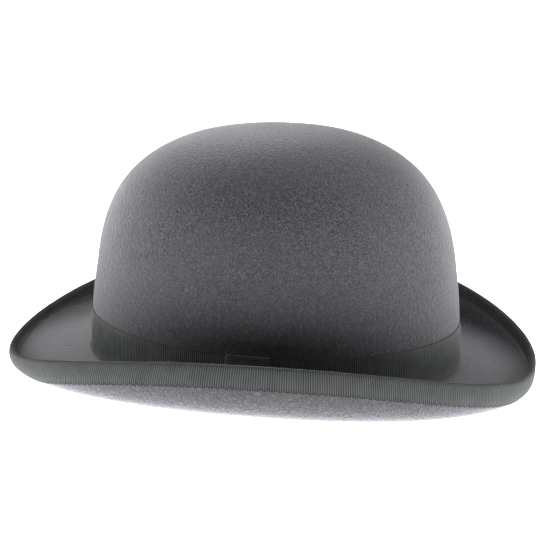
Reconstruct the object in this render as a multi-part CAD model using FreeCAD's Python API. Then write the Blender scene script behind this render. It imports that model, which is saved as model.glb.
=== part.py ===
"""Bowler hat: a one-piece wool felt body with a ribbon band, bow, bound brim, leather sweatband and satin lining.

Millimetres. +Z is up, +Y is the back of the hat, +X is the wearer's left. The origin is on the surface that the hat
stands on, under the middle of the brim. Every part follows two shapes: the dome of the crown, a superellipse in
plan and in height, and the brim's section, a smooth curve in the upright plane at each azimuth. Azimuth 0 is +X.
"""
import FreeCAD, Part
import os
from math import acos, copysign, cos, pi, radians, sin

os.makedirs("parts", exist_ok=True)
Vector = FreeCAD.Vector

# Crown, measured on the outside of the felt from the break where it meets the brim.
CROWN_HALF_WIDTH = 85.5
CROWN_HALF_LENGTH = 103.0
CROWN_HEIGHT = 130.5
CROWN_PLAN_POWER = 2.53
CROWN_HEIGHT_POWER = 3.73
CROWN_CENTRE_Y = 2.2
CROWN_LEAN = -0.036
CROWN_BACK_RISE = 0.031
FOOT_SPREAD = 1.75
FOOT_FORWARD = 0.6
FOOT_TOP = 56.0
BREAK_HEIGHT = 5.68
FELT = 2.5

# Brim: the rim in plan, the height of its crest and of its trough above the break, its roll and its root.
RIM_HALF_WIDTH = 122.8
RIM_HALF_LENGTH = 148.0
RIM_PLAN_POWER = 2.21
CREST_MEAN = 16.1
CREST_BACK = 3.2
CREST_SIDE = 14.1
TROUGH_MEAN = -1.73
TROUGH_BACK = -0.16
TROUGH_SIDE = 2.24
TROUGH_PLACE = 0.711
TROUGH_PLACE_SIDE = -0.179
ROLL_OUT = 2.05
ROLL_OUT_SIDE = 1.92
WALL_TOP = 12.0
BRIM_ROOT = -1.3

# Ribbons.
RIBBON = 0.6
GAP = 0.06
BAND_WIDTH = 23.7
BAND_TOP = 24.75
BAND_TOP_SIDE = -0.47
BINDING_UPPER = 6.4
BINDING_UNDER = 10.6
BINDING = 0.5
THREAD = 0.3
THREAD_INSET = 0.7

# Bow on the wearer's left.
BOW_AZIMUTH = -2.8
KNOT_WIDTH = 23.7
KNOT_PROUD = 1.0
LOOP_LENGTH = 34.0
LOOP_PROUD = 1.8
LOOP_MIDDLE = 10.0
LOOP_HALF_HEIGHT = 7.0

# Sweatband, measured inwards from the outside of the crown and upwards from the break.
LEATHER = 1.0
SWEATBAND_BOTTOM = 3.2
SWEATBAND_TOP = 46.0
SWEATBAND_INSET_BOTTOM = 5.2
SWEATBAND_INSET_TOP = 4.2
REED_RADIUS = 0.85
REED_HEIGHT = 3.2
TAPE = 0.25
TAPE_TAIL = 4.0
SEAM_HEIGHT = 8.0

# Lining.
SATIN = 0.35
LINING_INSET = 3.2
LINING_BOTTOM = 36.0
LINING_SEAM = 104.0
PIPING_RADIUS = 0.9
SHIELD_ANGLE = 24.0
SHIELD = 0.2

AZIMUTHS = 48


# ---- shapes -------------------------------------------------------------------------------------------------

def leaned(x, y, z, back, weight=1.0):
    """A point of the crown in the hat's frame: the dome leans forward and rises a little to the back."""
    lean = CROWN_LEAN * z * weight
    rise = CROWN_BACK_RISE * back * z * weight
    return Vector(x, y + CROWN_CENTRE_Y + lean, BREAK_HEIGHT + z + rise)


def foot(z):
    """How much of the foot's extra length the crown has at the height z: 1 at the break, 0 from FOOT_TOP up."""
    return max(0.0, 1 - (z / FOOT_TOP) ** 3) ** 2


def dome_point(azimuth, angle, inset):
    """The dome at `angle` from its top (0) to its base (90 degrees), `inset` inside the felt's outer face."""
    reach = sin(angle) ** (2 / CROWN_PLAN_POWER)
    z = (CROWN_HEIGHT - inset) * max(cos(angle), 0.0) ** (2 / CROWN_HEIGHT_POWER)
    x = (CROWN_HALF_WIDTH - inset) * reach * cos(azimuth)
    half_length = CROWN_HALF_LENGTH + FOOT_SPREAD * foot(z) - inset
    y = half_length * reach * sin(azimuth) - FOOT_FORWARD * foot(z)
    return leaned(x, y, z, reach * sin(azimuth))


def dome_angle(z, inset):
    """The dome's angle at the height z above the break."""
    return acos((z / (CROWN_HEIGHT - inset)) ** (CROWN_HEIGHT_POWER / 2))


def wall_point(azimuth, z, inset):
    """The crown's wall at the height z above the break."""
    return dome_point(azimuth, dome_angle(z, inset), inset)


def signed_power(value, power):
    return copysign(abs(value) ** power, value)


class BrimSection:
    """The brim's middle surface in the upright plane at one azimuth, with u measured outwards from the crown."""

    def __init__(self, azimuth):
        self.back = sin(azimuth)
        side = cos(2 * azimuth)
        exponent = 2 / RIM_PLAN_POWER
        rim_x = RIM_HALF_WIDTH * signed_power(cos(azimuth), exponent)
        rim_y = RIM_HALF_LENGTH * signed_power(sin(azimuth), exponent)
        start_y = (CROWN_HALF_LENGTH + FOOT_SPREAD) * sin(azimuth) - FOOT_FORWARD
        self.start = Vector(CROWN_HALF_WIDTH * cos(azimuth), start_y, 0)
        out = Vector(rim_x, rim_y - CROWN_CENTRE_Y, 0) - self.start
        width = out.Length
        self.out = out / width
        crest = CREST_MEAN + CREST_BACK * sin(azimuth) + CREST_SIDE * side
        trough = TROUGH_MEAN + TROUGH_BACK * sin(azimuth) + TROUGH_SIDE * side
        trough_u = (TROUGH_PLACE + TROUGH_PLACE_SIDE * side) * width
        roll_u = width + ROLL_OUT + ROLL_OUT_SIDE * side
        rise = crest - trough
        wall_u = -FELT / 2
        poles = (
            (wall_u, WALL_TOP),
            (wall_u, 2.2),
            (wall_u + 0.2, BRIM_ROOT),
            (0.12 * width + 2.0, BRIM_ROOT),
            (trough_u, trough),
            (roll_u, trough + 0.12 * rise),
            (roll_u, trough + 0.62 * rise),
            (width, crest),
        )
        self.curve = Part.BSplineCurve()
        knots = [0.0, 0.2, 0.4, 0.6, 0.8, 1.0]
        self.curve.buildFromPolesMultsKnots([Vector(u, 0, z) for u, z in poles], [4, 1, 1, 1, 1, 4], knots, False, 3)

    def place(self, point, fade):
        """A point of the section's plane in the hat's frame. The crown's lean fades out down the wall."""
        spot = self.start + self.out * point.x
        return leaned(spot.x, spot.y, point.z, self.back, max(0.0, 1 - fade) ** 2)

    def offset(self, t, distance):
        """The section moved sideways by `distance`: positive is the brim's upper face."""
        tangent = self.curve.tangent(t)[0]
        upward = Vector(-tangent.z, 0, tangent.x)
        return self.place(self.curve.value(t) + upward * distance, t / 0.3)

    def crest(self, angle, radius):
        """A point of the round crest: angle 90 degrees is its upper face, 0 its tip, -90 its under face."""
        tangent = self.curve.tangent(1.0)[0]
        upward = Vector(-tangent.z, 0, tangent.x)
        return self.place(self.curve.value(1.0) + (tangent * cos(angle) + upward * sin(angle)) * radius, 1.0)

    def before_crest(self, distance):
        """The parameter of the point `distance` before the crest."""
        return self.curve.parameterAtDistance(-distance, 1.0)


def steps(first, last, count):
    """`count` evenly spaced values from first to last."""
    return [first + (last - first) * k / (count - 1) for k in range(count)]


def spread(points, count):
    """The line through `points` as `count` evenly spaced points."""
    return Part.makePolygon(points).discretize(Number=count)


# ---- surfaces and solids ------------------------------------------------------------------------------------

def shared_parameters(rows):
    """One list of curve parameters for all rows: the rows' mean distances."""
    totals = [0.0]
    for k in range(1, len(rows[0])):
        totals.append(totals[-1] + sum((row[k] - row[k - 1]).Length for row in rows) / len(rows))
    return [total / totals[-1] for total in totals]


def curve_through(points, parameters):
    curve = Part.BSplineCurve()
    curve.interpolate(Points=points, Parameters=parameters)
    return curve


def closed_poles(points):
    """Poles of the closed uniform cubic spline through `points`."""
    count = len(points)
    poles = list(points)
    for _ in range(40):
        poles = [(points[k] * 6 - poles[k - 1] - poles[(k + 1) % count]) * 0.25 for k in range(count)]
    return [poles[k - 1] for k in range(count)]


def skin(rows, closed):
    """A smooth surface through rows of points: one row for each azimuth, all the way round if `closed`."""
    parameters = shared_parameters(rows)
    curves = [curve_through(row, parameters) for row in rows]
    grid = [curve.getPoles() for curve in curves]
    lines = [list(line) for line in zip(*grid)]
    if closed:
        poles = [closed_poles(line) for line in lines]
        across_knots = [float(k) for k in range(len(rows) + 1)]
        across_mults = [1] * len(across_knots)
    else:
        places = steps(0.0, 1.0, len(rows))
        across = [curve_through(line, places) for line in lines]
        poles = [curve.getPoles() for curve in across]
        across_knots = across[0].getKnots()
        across_mults = across[0].getMultiplicities()
    surface = Part.BSplineSurface()
    surface.buildFromPolesMultsKnots(
        poles, curves[0].getMultiplicities(), across_mults, curves[0].getKnots(), across_knots, False, closed, 3, 3)
    return surface


def strip(first, second):
    """The ruled face between two matching edge curves."""
    return Part.makeRuledSurface(first.toShape(), second.toShape())


def solid_from(faces):
    shell = Part.makeShell(faces)
    shell.sewShape(0.001)
    solid = Part.makeSolid(shell if isinstance(shell, Part.Shell) else Part.Shell(shell.Faces))
    if solid.Volume < 0:
        solid.reverse()
    return solid


def ring(profiles, pole=False, meets_first=False, meets_last=False):
    """A solid that goes all the way round. profiles(azimuth) gives its two faces' lines, point for point."""
    pairs = [profiles(2 * pi * k / AZIMUTHS) for k in range(AZIMUTHS)]
    outer = skin([pair[0] for pair in pairs], True)
    inner = skin([pair[1] for pair in pairs], True)
    faces = [outer.toShape(), inner.toShape()]
    if not (pole or meets_first):
        faces.append(strip(outer.uIso(0.0), inner.uIso(0.0)))
    if not meets_last:
        faces.append(strip(outer.uIso(1.0), inner.uIso(1.0)))
    return solid_from(faces)


def patch(profiles, first_azimuth, last_azimuth, count=9):
    """A solid over part of the way round, closed at its ends."""
    pairs = [profiles(azimuth) for azimuth in steps(first_azimuth, last_azimuth, count)]
    outer = skin([pair[0] for pair in pairs], False)
    inner = skin([pair[1] for pair in pairs], False)
    faces = [outer.toShape(), inner.toShape()]
    for end in (0.0, 1.0):
        faces.append(strip(outer.uIso(end), inner.uIso(end)))
        faces.append(strip(outer.vIso(end), inner.vIso(end)))
    return solid_from(faces)


def rod(azimuth, z, inset, radius):
    """The two halves of a round cord's section at the crown's wall."""
    halves = []
    for turn in (1, -1):
        angles = steps(0.0, turn * pi, 7)
        halves.append([wall_point(azimuth, z + radius * sin(a), inset + radius * cos(a)) for a in angles])
    return halves


def walls(azimuth, bottom, top, outer_inset, inner_inset, count=5):
    """The two faces of a sheet along the crown's wall, with its insets given as functions of height."""
    heights = steps(bottom, top, count)
    outer = [wall_point(azimuth, z, outer_inset(z)) for z in heights]
    inner = [wall_point(azimuth, z, inner_inset(z)) for z in heights]
    return outer, inner


def constant(value):
    return lambda z: value


# ---- felt body ----------------------------------------------------------------------------------------------

def felt_line(azimuth, inset, offset, turn):
    """One face of the felt: down the dome, over the break and along the brim to the tip of its crest."""
    section = BrimSection(azimuth)
    dome_end = dome_angle(WALL_TOP + 1.5, inset)
    dome = spread([dome_point(azimuth, a, inset) for a in steps(0.0, dome_end, 160)], 26)
    brim = spread([section.offset(t, offset) for t in steps(0.0, 1.0, 120)], 26)
    crest = [section.crest(turn * a, FELT / 2) for a in (radians(45), 0.0)]
    return dome + brim + crest


def felt_profiles(azimuth):
    return felt_line(azimuth, 0.0, FELT / 2, 1), felt_line(azimuth, FELT, -FELT / 2, -1)


# ---- band and bow -------------------------------------------------------------------------------------------

def band_top(azimuth):
    return BAND_TOP + BAND_TOP_SIDE * cos(2 * azimuth)


def band_line(azimuth, proud, width):
    """A line down the outside of the crown from the band's top edge, `proud` of the felt, `width` long."""
    section = BrimSection(azimuth)
    wall = [wall_point(azimuth, z, -proud) for z in steps(band_top(azimuth), WALL_TOP + 1.0, 14)]
    flare = [section.offset(t, FELT / 2 + proud) for t in steps(0.0, 0.4, 60)]
    line = Part.makePolygon(wall + flare)
    points = line.discretize(Distance=line.Length / 200)
    kept = [point for k, point in enumerate(points) if k * line.Length / 200 <= width]
    return spread(kept, 16)


def band_profiles(azimuth):
    return band_line(azimuth, GAP + RIBBON, BAND_WIDTH), band_line(azimuth, GAP, BAND_WIDTH)


def hump(position, flatness=4):
    """A rounded height from 0 at the ends of -1..1 to 1 in the middle."""
    return (1 - abs(position) ** flatness) ** 0.5


def knot_profiles(azimuth):
    """The knot: ribbon wrapped over the band, rounded over its top and bottom edges."""
    rest = 2 * GAP + RIBBON
    heights = steps(band_top(azimuth) + 0.8, 1.8, 15)
    places = steps(-1.0, 1.0, 15)
    outer = [wall_point(azimuth, z, -rest - 0.3 - KNOT_PROUD * hump(p)) for z, p in zip(heights, places)]
    inner = [wall_point(azimuth, z, -rest) for z in heights]
    return outer, inner


def loop_profiles(azimuth, knot_edge, tip):
    """One loop of the bow: a flattened ribbon, pinched at the knot and round at its tip."""
    along = (azimuth - knot_edge) / (tip - knot_edge)
    half = LOOP_HALF_HEIGHT * (0.62 + 0.38 * sin(pi / 2 * min(1.0, along * 2.2)))
    proud = 0.5 + LOOP_PROUD * sin(pi * (0.12 + 0.8 * along))
    rest = 2 * GAP + RIBBON
    places = steps(-1.0, 1.0, 13)
    outer = [wall_point(azimuth, LOOP_MIDDLE - half * p, -rest - 0.3 - proud * hump(p)) for p in places]
    inner = [wall_point(azimuth, LOOP_MIDDLE - half * p, -rest) for p in places]
    return outer, inner


def bow_loop(direction):
    middle = radians(BOW_AZIMUTH)
    knot_edge = middle + direction * (KNOT_WIDTH / 2 + 0.3) / CROWN_HALF_LENGTH
    tip = knot_edge + direction * LOOP_LENGTH / CROWN_HALF_LENGTH
    return patch(lambda azimuth: loop_profiles(azimuth, knot_edge, tip), knot_edge, tip)


def bow_knot():
    middle = radians(BOW_AZIMUTH)
    half = KNOT_WIDTH / 2 / CROWN_HALF_LENGTH
    return patch(knot_profiles, middle - half, middle + half)


# ---- brim binding -------------------------------------------------------------------------------------------

def around_crest(azimuth, distance):
    """The binding's line around the rim, `distance` from the felt's middle surface."""
    section = BrimSection(azimuth)
    upper_steps = steps(section.before_crest(BINDING_UPPER), 1.0, 20)
    under_steps = steps(1.0, section.before_crest(BINDING_UNDER), 30)
    upper = [section.offset(t, distance) for t in upper_steps]
    crest = [section.crest(a, distance) for a in steps(radians(75), radians(-75), 11)]
    under = [section.offset(t, -distance) for t in under_steps]
    return spread(upper + crest + under, 31)


def binding_profiles(azimuth):
    inner = FELT / 2 + GAP
    return around_crest(azimuth, inner + BINDING), around_crest(azimuth, inner)


def binding_thread_profiles(azimuth, side):
    """The stitching along the binding's edge, on its upper (1) or under (-1) face."""
    section = BrimSection(azimuth)
    face = FELT / 2 + 2 * GAP + BINDING
    middle = (BINDING_UPPER if side > 0 else BINDING_UNDER) - THREAD_INSET
    t = section.before_crest(middle)
    first = section.offset(section.before_crest(middle + 0.3), 0)
    half = (section.offset(section.before_crest(middle - 0.3), 0) - first) * 0.5
    outer = [section.offset(t, side * (face + THREAD)) + half * place for place in steps(-1.0, 1.0, 5)]
    inner = [section.offset(t, side * face) + half * place for place in steps(-1.0, 1.0, 5)]
    return outer, inner


# ---- sweatband ----------------------------------------------------------------------------------------------

def sweatband_inset(z):
    """The inset of the leather's outer face: it leans away from the felt towards its bottom edge."""
    share = (z - SWEATBAND_BOTTOM) / (SWEATBAND_TOP - SWEATBAND_BOTTOM)
    return SWEATBAND_INSET_BOTTOM + (SWEATBAND_INSET_TOP - SWEATBAND_INSET_BOTTOM) * share


def sweatband_face(extra):
    return lambda z: sweatband_inset(z) + extra


def sweatband_profiles(azimuth):
    return walls(azimuth, SWEATBAND_BOTTOM, SWEATBAND_TOP, sweatband_face(0), sweatband_face(LEATHER), 9)


def reed_inset():
    return SWEATBAND_INSET_BOTTOM - GAP - TAPE - GAP - REED_RADIUS


def reed_profiles(azimuth):
    return rod(azimuth, REED_HEIGHT, reed_inset(), REED_RADIUS)


def tape_profiles(azimuth):
    """The tape folded round the reed, with both of its tails standing up beside the leather."""
    lines = []
    for radius in (REED_RADIUS + GAP + TAPE, REED_RADIUS + GAP):
        line = []
        for z in steps(TAPE_TAIL, 1.0, 4):
            line.append(wall_point(azimuth, REED_HEIGHT + z, reed_inset() - radius))
        for a in steps(pi, 2 * pi, 9):
            line.append(wall_point(azimuth, REED_HEIGHT + radius * sin(a), reed_inset() + radius * cos(a)))
        for z in steps(1.0, TAPE_TAIL, 4):
            line.append(wall_point(azimuth, REED_HEIGHT + z, reed_inset() + radius))
        lines.append(line)
    return lines


def on_sweatband(azimuth, bottom, top, thickness, count=5):
    """A thin piece that lies on the leather's inner face."""
    rest = LEATHER + GAP
    return walls(azimuth, bottom, top, sweatband_face(rest), sweatband_face(rest + thickness), count)


def sweatband_thread_profiles(azimuth):
    return on_sweatband(azimuth, SEAM_HEIGHT - 0.3, SEAM_HEIGHT + 0.3, THREAD)


def small_bow_loop(direction):
    """A loop of the small bow at the back of the sweatband."""
    first = pi / 2 + direction * 2.9 / CROWN_HALF_WIDTH
    last = first + direction * 13.0 / CROWN_HALF_WIDTH

    def profiles(azimuth):
        along = (azimuth - first) / (last - first)
        half = 2.2 + 1.6 * along
        return on_sweatband(azimuth, 38.5 - half, 38.5 + half, 0.5 + 0.9 * sin(pi * along))

    return patch(profiles, first, last)


def small_bow_knot():
    half = 2.8 / CROWN_HALF_WIDTH
    return patch(lambda azimuth: on_sweatband(azimuth, 35.6, 41.4, 1.8), pi / 2 - half, pi / 2 + half)


def size_label():
    """A small woven label on the inside of the sweatband, left of the back."""
    middle = radians(68)
    half = 8.0 / CROWN_HALF_WIDTH
    return patch(lambda azimuth: on_sweatband(azimuth, 27.0, 39.0, 0.3), middle - half, middle + half)


# ---- lining -------------------------------------------------------------------------------------------------

def lining_line(azimuth, first_angle, last_angle, inset, count):
    return spread([dome_point(azimuth, a, inset) for a in steps(first_angle, last_angle, 90)], count)


def lining_side_profiles(azimuth):
    """The gathered satin round the wall, from behind the sweatband to the tip's seam."""
    lines = []
    for inset in (LINING_INSET, LINING_INSET + SATIN):
        first = dome_angle(LINING_SEAM, inset)
        last = dome_angle(LINING_BOTTOM, inset)
        lines.append(lining_line(azimuth, first, last, inset, 16))
    return lines


def dome_cap_profiles(azimuth, last_angle, inset, thickness):
    """A thin cap under the top of the dome."""
    insets = (inset, inset + thickness)
    return [lining_line(azimuth, 0.0, last_angle, each, 16) for each in insets]


def lining_tip_profiles(azimuth):
    last = dome_angle(LINING_SEAM, LINING_INSET) - radians(0.4)
    return dome_cap_profiles(azimuth, last, LINING_INSET, SATIN)


def lining_piping_profiles(azimuth):
    return rod(azimuth, LINING_SEAM, LINING_INSET + SATIN + 2 * GAP + PIPING_RADIUS, PIPING_RADIUS)


def tip_shield_profiles(azimuth):
    return dome_cap_profiles(azimuth, radians(SHIELD_ANGLE), LINING_INSET + SATIN + GAP, SHIELD)


def tip_shield_thread_profiles(azimuth):
    """The stitching round the clear shield's edge."""
    face = LINING_INSET + SATIN + 2 * GAP + SHIELD
    angles = steps(radians(SHIELD_ANGLE - 1.2), radians(SHIELD_ANGLE - 0.8), 5)
    return [[dome_point(azimuth, a, inset) for a in angles] for inset in (face, face + THREAD)]


# ---- all parts ----------------------------------------------------------------------------------------------

def write_all():
    nodes = {
        "felt_body": ring(felt_profiles, pole=True, meets_last=True),
        "hat_band": ring(band_profiles),
        "bow_knot": bow_knot(),
        "bow_loop_front": bow_loop(-1),
        "bow_loop_back": bow_loop(1),
        "brim_binding": ring(binding_profiles),
        "binding_thread_upper": ring(lambda azimuth: binding_thread_profiles(azimuth, 1)),
        "binding_thread_under": ring(lambda azimuth: binding_thread_profiles(azimuth, -1)),
        "sweatband": ring(sweatband_profiles),
        "sweatband_reed": ring(reed_profiles, meets_first=True, meets_last=True),
        "reed_tape": ring(tape_profiles),
        "sweatband_thread": ring(sweatband_thread_profiles),
        "sweatband_bow_left": small_bow_loop(-1),
        "sweatband_bow_right": small_bow_loop(1),
        "sweatband_bow_knot": small_bow_knot(),
        "size_label": size_label(),
        "lining_side": ring(lining_side_profiles),
        "lining_tip": ring(lining_tip_profiles, pole=True),
        "lining_piping": ring(lining_piping_profiles, meets_first=True, meets_last=True),
        "tip_shield": ring(tip_shield_profiles, pole=True),
        "tip_shield_thread": ring(tip_shield_thread_profiles),
    }
    whole = FreeCAD.BoundBox()
    for name, shape in nodes.items():
        shape.exportStep(f"parts/{name}.step")
        whole.add(shape.BoundBox)
        print(name, "valid", shape.isValid(), "closed", shape.isClosed(), "volume", round(shape.Volume, 1))
    print("x", round(whole.XMin, 2), round(whole.XMax, 2), "y", round(whole.YMin, 2), round(whole.YMax, 2),
          "z", round(whole.ZMin, 2), round(whole.ZMax, 2))


write_all()
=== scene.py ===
"""The looks of the bowler hat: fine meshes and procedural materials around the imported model.

Metres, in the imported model's frame: +Z up, +Y the back of the hat, +X the wearer's left. Azimuth 0 is +X
and grows towards +Y. The meshes follow the same two shapes as the solids, the dome of the crown and the
section of the brim, and add what cloth, felt, leather and thread have: ribs, stitches, pleats, rolled edges
and slight unevenness. Widths are along a surface; insets and proud heights are square to it.
"""
from math import cos, pi, radians, sin

import bpy
import numpy as np
from mathutils import Matrix, Vector


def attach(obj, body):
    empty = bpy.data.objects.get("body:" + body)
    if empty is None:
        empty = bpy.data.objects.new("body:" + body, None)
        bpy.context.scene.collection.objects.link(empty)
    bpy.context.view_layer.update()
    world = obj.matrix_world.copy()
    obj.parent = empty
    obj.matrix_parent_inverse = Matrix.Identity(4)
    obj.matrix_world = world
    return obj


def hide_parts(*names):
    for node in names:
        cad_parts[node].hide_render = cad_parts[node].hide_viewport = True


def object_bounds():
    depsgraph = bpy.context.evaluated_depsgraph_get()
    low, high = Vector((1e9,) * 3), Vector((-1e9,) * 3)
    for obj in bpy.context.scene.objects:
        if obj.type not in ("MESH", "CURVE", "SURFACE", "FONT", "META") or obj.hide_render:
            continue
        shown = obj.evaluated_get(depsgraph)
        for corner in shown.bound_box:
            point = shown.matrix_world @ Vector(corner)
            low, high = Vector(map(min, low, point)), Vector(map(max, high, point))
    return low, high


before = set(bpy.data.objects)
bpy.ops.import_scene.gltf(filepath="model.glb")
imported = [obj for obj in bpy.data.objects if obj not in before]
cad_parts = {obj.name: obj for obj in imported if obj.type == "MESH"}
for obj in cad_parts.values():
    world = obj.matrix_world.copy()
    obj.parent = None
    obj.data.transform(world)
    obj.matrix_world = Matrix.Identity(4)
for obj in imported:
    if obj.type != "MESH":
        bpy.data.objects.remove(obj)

CAD_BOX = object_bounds()
MM = 0.001
TAU = 2 * pi

# Crown, on the outside of the felt, heights from the break.
CROWN_HALF = (85.5 * MM, 103.0 * MM)
CROWN_HEIGHT = 130.5 * MM
CROWN_PLAN_POWER = 2.53
CROWN_HEIGHT_POWER = 3.73
CROWN_CENTRE_Y = 2.2 * MM
CROWN_LEAN = -0.036
CROWN_BACK_RISE = 0.031
FOOT_SPREAD = 1.75 * MM
FOOT_FORWARD = 0.6 * MM
FOOT_TOP = 56.0 * MM
BREAK_HEIGHT = 5.68 * MM
FELT = 2.5 * MM
WALL_TOP = 12.0 * MM

# Brim.
RIM_HALF = (122.8 * MM, 148.0 * MM)
RIM_PLAN_POWER = 2.21
CREST = (16.1 * MM, 3.2 * MM, 14.1 * MM)      # mean, more at the back, more at the sides
TROUGH = (-1.73 * MM, -0.16 * MM, 2.24 * MM)  # mean, more at the back, more at the sides
TROUGH_PLACE = (0.711, -0.179)
ROLL_OUT = (2.05 * MM, 1.92 * MM)
BRIM_ROOT = -1.3 * MM

# Ribbons.
RIBBON = 0.6 * MM
GAP = 0.06 * MM
BAND_WIDTH = 23.7 * MM
BAND_TOP = (24.75 * MM, -0.47 * MM)
RIB_PITCH = 1.2 * MM
PER_RIB = 6               # samples along a ribbon for each rib
BINDING_UPPER = 6.4 * MM
BINDING_UNDER = 10.6 * MM
BINDING = 0.5 * MM
# The width of the painted highlight and shadow lines along a ribbon's edges.
PAINTED_EDGE_LINE = 0.3 * MM
BAND_RIB_DEPTH = 0.42     # a share of the ribbon's thickness
BINDING_RIB_DEPTH = 0.5   # a share of the ribbon's thickness
LOOP_RIB_DEPTH = 0.3      # a share of half the ribbon's thickness
KNOT_RIB_DEPTH = 0.22 * MM

# Stitches: the share of the pitch that shows, the arch's height and the thread's radius.
BINDING_STITCH = (0.96, 0.1 * MM, 0.17 * MM)
SEAT_STITCH = (0.7, 0.24 * MM, 0.18 * MM)
JOINT_STITCH = (0.96, 0.2 * MM, 0.16 * MM)
SHIELD_STITCH = (0.66, 0.24 * MM, 0.16 * MM)
STITCH_PITCH = 3.8 * MM
SEAT_STITCHES = 190
JOINT_STITCHES = 15
SHIELD_STITCHES = 84

# Colours.
FELT_COLOUR = (0.106, 0.107, 0.116)
RIBBON_COLOUR = (0.150, 0.161, 0.158)
BINDING_COLOUR = (0.092, 0.098, 0.096)
DARK_THREAD_COLOUR = (0.018, 0.02, 0.02)
LEATHER_THREAD_COLOUR = (0.16, 0.13, 0.10)
LEATHER_COLOUR = (0.062, 0.036, 0.022)
SATIN_COLOUR = (0.20, 0.20, 0.215)
PIPING_COLOUR = (0.09, 0.09, 0.098)
LABEL_COLOUR = (0.5, 0.49, 0.45)
TAPE_COLOUR = (0.03, 0.03, 0.032)
REED_COLOUR = (0.05, 0.05, 0.05)

# Bow.
BOW_AZIMUTH = radians(-2.8)
KNOT_WIDTH = 23.7 * MM
KNOT_RIBS = 44
LOOP_LENGTH = 34.0 * MM
LOOP_MIDDLE = 10.0 * MM
LOOP_HALF_HEIGHT = 7.0 * MM

# Sweatband and lining.
LEATHER = 1.0 * MM
SWEATBAND_Z = (3.2 * MM, 46.0 * MM)
SWEATBAND_INSET = (5.2 * MM, 4.2 * MM)
SEAM_HEIGHT = 8.0 * MM
SMALL_BOW_HEIGHT = 38.5 * MM
LABEL_AZIMUTH = radians(68)
LABEL_HALF_WIDTH = 7.8 * MM
LABEL_Z = (27.2 * MM, 38.8 * MM)
SATIN = 0.35 * MM
LINING_INSET = 3.2 * MM
LINING_BOTTOM = 36.0 * MM
LINING_SEAM = 104.0 * MM
PIPING_RADIUS = 0.9 * MM
SHIELD_ANGLE = radians(24.0)
SHIELD = 0.2 * MM


# ---- the two shapes ----

def leaned(x, y, z, back, weight=1.0):
    """Points of the crown in the hat's frame: the dome leans forward and rises a little to the back."""
    y = y + CROWN_CENTRE_Y + CROWN_LEAN * z * weight
    z = BREAK_HEIGHT + z + CROWN_BACK_RISE * back * z * weight
    return np.stack(np.broadcast_arrays(x, y, z), axis=-1)


def foot(z):
    """The share of the foot's extra length at the height z: 1 at the break, 0 from FOOT_TOP up."""
    return np.maximum(0, 1 - (z / FOOT_TOP) ** 3) ** 2


def dome(azimuth, angle, inset=0.0):
    """The dome at `angle` from its top (0) to its base (90 degrees), `inset` inside the felt's outer face."""
    reach = np.sin(angle) ** (2 / CROWN_PLAN_POWER)
    z = (CROWN_HEIGHT - inset) * np.maximum(np.cos(angle), 0) ** (2 / CROWN_HEIGHT_POWER)
    x = (CROWN_HALF[0] - inset) * reach * np.cos(azimuth)
    half_length = CROWN_HALF[1] + FOOT_SPREAD * foot(z) - inset
    y = half_length * reach * np.sin(azimuth) - FOOT_FORWARD * foot(z)
    return leaned(x, y, z, reach * np.sin(azimuth))


def dome_angle(z, inset=0.0):
    share = np.clip(z / (CROWN_HEIGHT - inset), 0, 1)
    return np.arccos(share ** (CROWN_HEIGHT_POWER / 2))


def wall(azimuth, z, inset=0.0):
    """The crown's wall at the height z above the break."""
    return dome(azimuth, dome_angle(z, inset), inset)


def signed_power(value, power):
    return np.sign(value) * np.abs(value) ** power


def evenly(count, length=TAU):
    """`count` places evenly round a closed line of that length, or azimuths round the hat."""
    return np.arange(count) * length / count


def travelled(points):
    """The distance travelled along a line of points, or along many lines in columns, at each point."""
    strides = np.linalg.norm(np.diff(points, axis=0), axis=-1)
    return np.concatenate([0 * strides[:1], np.cumsum(strides, axis=0)])


def ring(face, back):
    """A closed loop out along one face and home along the other, which share their two ends."""
    return np.concatenate([face, back[::-1][1:-1]])


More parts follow.
